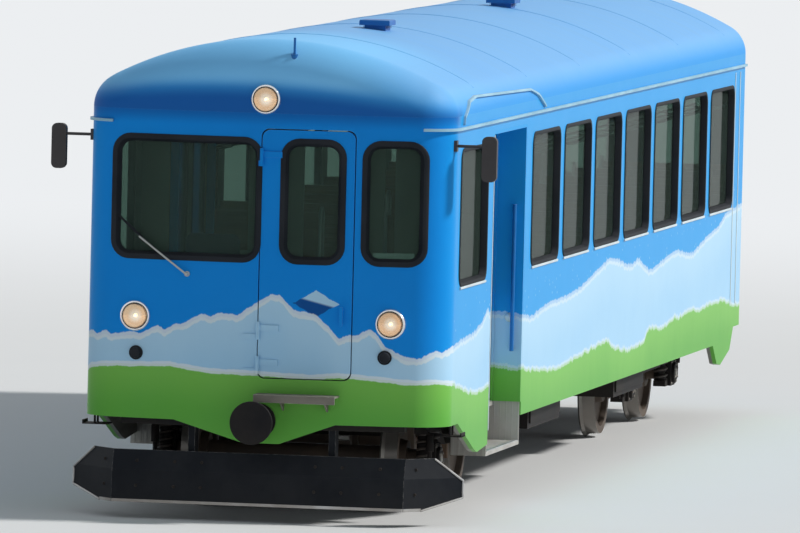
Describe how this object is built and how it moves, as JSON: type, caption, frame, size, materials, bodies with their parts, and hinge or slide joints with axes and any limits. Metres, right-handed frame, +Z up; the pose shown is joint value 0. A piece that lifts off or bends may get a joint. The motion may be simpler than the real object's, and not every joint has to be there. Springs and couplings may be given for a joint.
{
  "type": "rack railway driving trailer",
  "caption": "Bogie railcar for a rack railway with a full-width cab, recessed folding doors, large saloon windows, rack brake pinions and a snow plough.",
  "frame": {"origin": "below the middle of the car, at the lowest point of the wheel flanges", "axes": "-Y towards the driving cab, +X towards the side seen in the picture, +Z up"},
  "size_m": [3.3, 14.4, 3.5678],
  "materials": {
    "body_paint": "gloss",
    "glass": "gloss",
    "lining": "satin",
    "steps": "satin",
    "floor": "matte",
    "black_paint": "satin",
    "cast_iron": "matte",
    "wheel_steel": "satin",
    "pinion_steel": "satin",
    "lamp": "gloss",
    "mirror_case": "satin",
    "rail_steel": "satin",
    "bench": "matte",
    "desk": "matte",
    "seat": "matte"
  },
  "bodies": {
    "carbody": {"front_end": "body_paint", "rear_end": "body_paint", "side_right": "body_paint", "side_left": "body_paint", "roof": "body_paint", "window_panes": "glass", "entrance_lining": "lining", "entrance_steps": "steps", "floor": "floor", "underframe": "black_paint", "snow_plough": "black_paint", "buffers": "black_paint", "lamps": "lamp", "footboard": "steps", "mirrors": "mirror_case", "roof_fittings": "body_paint", "gutters": "body_paint", "benches": "bench", "driver_desk": "desk", "driver_seat": "seat", "partitions": "lining", "equipment_boxes": "black_paint", "air_equipment": "black_paint", "handrails": "rail_steel"},
    "front_door": {"front_door": "body_paint", "front_door_pane": "glass"},
    "rear_door": {"rear_door": "body_paint", "rear_door_pane": "glass"},
    "front_leaf_right": {"door_leaf_front_right": "body_paint", "door_pane_front_right": "glass"},
    "rear_leaf_right": {"door_leaf_rear_right": "body_paint", "door_pane_rear_right": "glass"},
    "front_leaf_left": {"door_leaf_front_left": "body_paint", "door_pane_front_left": "glass"},
    "rear_leaf_left": {"door_leaf_rear_left": "body_paint", "door_pane_rear_left": "glass"},
    "bogie_front": {"bogie_frame_front": "black_paint", "axle_boxes_front": "black_paint", "brake_shoes_front": "cast_iron"},
    "wheelset_front_1": {"wheelset_front_1": "wheel_steel"},
    "wheelset_front_2": {"wheelset_front_2": "wheel_steel", "rack_pinion_front": "pinion_steel"},
    "bogie_rear": {"bogie_frame_rear": "black_paint", "axle_boxes_rear": "black_paint", "brake_shoes_rear": "cast_iron"},
    "wheelset_rear_1": {"wheelset_rear_1": "wheel_steel", "rack_pinion_rear": "pinion_steel"},
    "wheelset_rear_2": {"wheelset_rear_2": "wheel_steel"}
  },
  "joints": [
    {"name": "front_door_hinge", "type": "hinge", "parent": "carbody", "child": "front_door", "pos_m": [-0.02, -6.916, 1.9], "axis": [0, 0, -1], "range_deg": [0, 95]},
    {"name": "rear_door_hinge", "type": "hinge", "parent": "carbody", "child": "rear_door", "pos_m": [-0.34, 6.916, 1.9], "axis": [0, 0, 1], "range_deg": [0, 95]},
    {"name": "entrance_fold_right", "type": "hinge", "parent": "carbody", "child": "front_leaf_right", "pos_m": [1.112, -4.932, 1.75], "axis": [0, 0, 1], "range_deg": [0, 80]},
    {"name": "leaf_fold_right", "type": "hinge", "parent": "front_leaf_right", "child": "rear_leaf_right", "pos_m": [1.112, -4.284, 1.75], "axis": [0, 0, 1], "range_deg": [-160, 0]},
    {"name": "entrance_fold_left", "type": "hinge", "parent": "carbody", "child": "front_leaf_left", "pos_m": [-1.112, -4.932, 1.75], "axis": [0, 0, -1], "range_deg": [0, 80]},
    {"name": "leaf_fold_left", "type": "hinge", "parent": "front_leaf_left", "child": "rear_leaf_left", "pos_m": [-1.112, -4.284, 1.75], "axis": [0, 0, -1], "range_deg": [-160, 0]},
    {"name": "bogie_swivel_front", "type": "hinge", "parent": "carbody", "child": "bogie_front", "pos_m": [0, -4.3, 0.728], "axis": [0, 0, 1], "range_deg": [-4, 4]},
    {"name": "wheelset_front_1_spin", "type": "hinge", "parent": "bogie_front", "child": "wheelset_front_1", "pos_m": [0, -5.35, 0.408], "axis": [1, 0, 0], "continuous": true},
    {"name": "wheelset_front_2_spin", "type": "hinge", "parent": "bogie_front", "child": "wheelset_front_2", "pos_m": [0, -3.25, 0.408], "axis": [1, 0, 0], "continuous": true},
    {"name": "bogie_swivel_rear", "type": "hinge", "parent": "carbody", "child": "bogie_rear", "pos_m": [0, 4.3, 0.728], "axis": [0, 0, 1], "range_deg": [-4, 4]},
    {"name": "wheelset_rear_1_spin", "type": "hinge", "parent": "bogie_rear", "child": "wheelset_rear_1", "pos_m": [0, 3.25, 0.408], "axis": [1, 0, 0], "continuous": true},
    {"name": "wheelset_rear_2_spin", "type": "hinge", "parent": "bogie_rear", "child": "wheelset_rear_2", "pos_m": [0, 5.35, 0.408], "axis": [1, 0, 0], "continuous": true}
  ],
  "couplings": [
    {"joint": "leaf_fold_right", "follows": "entrance_fold_right", "ratio": -2},
    {"joint": "leaf_fold_left", "follows": "entrance_fold_left", "ratio": -2}
  ]
}
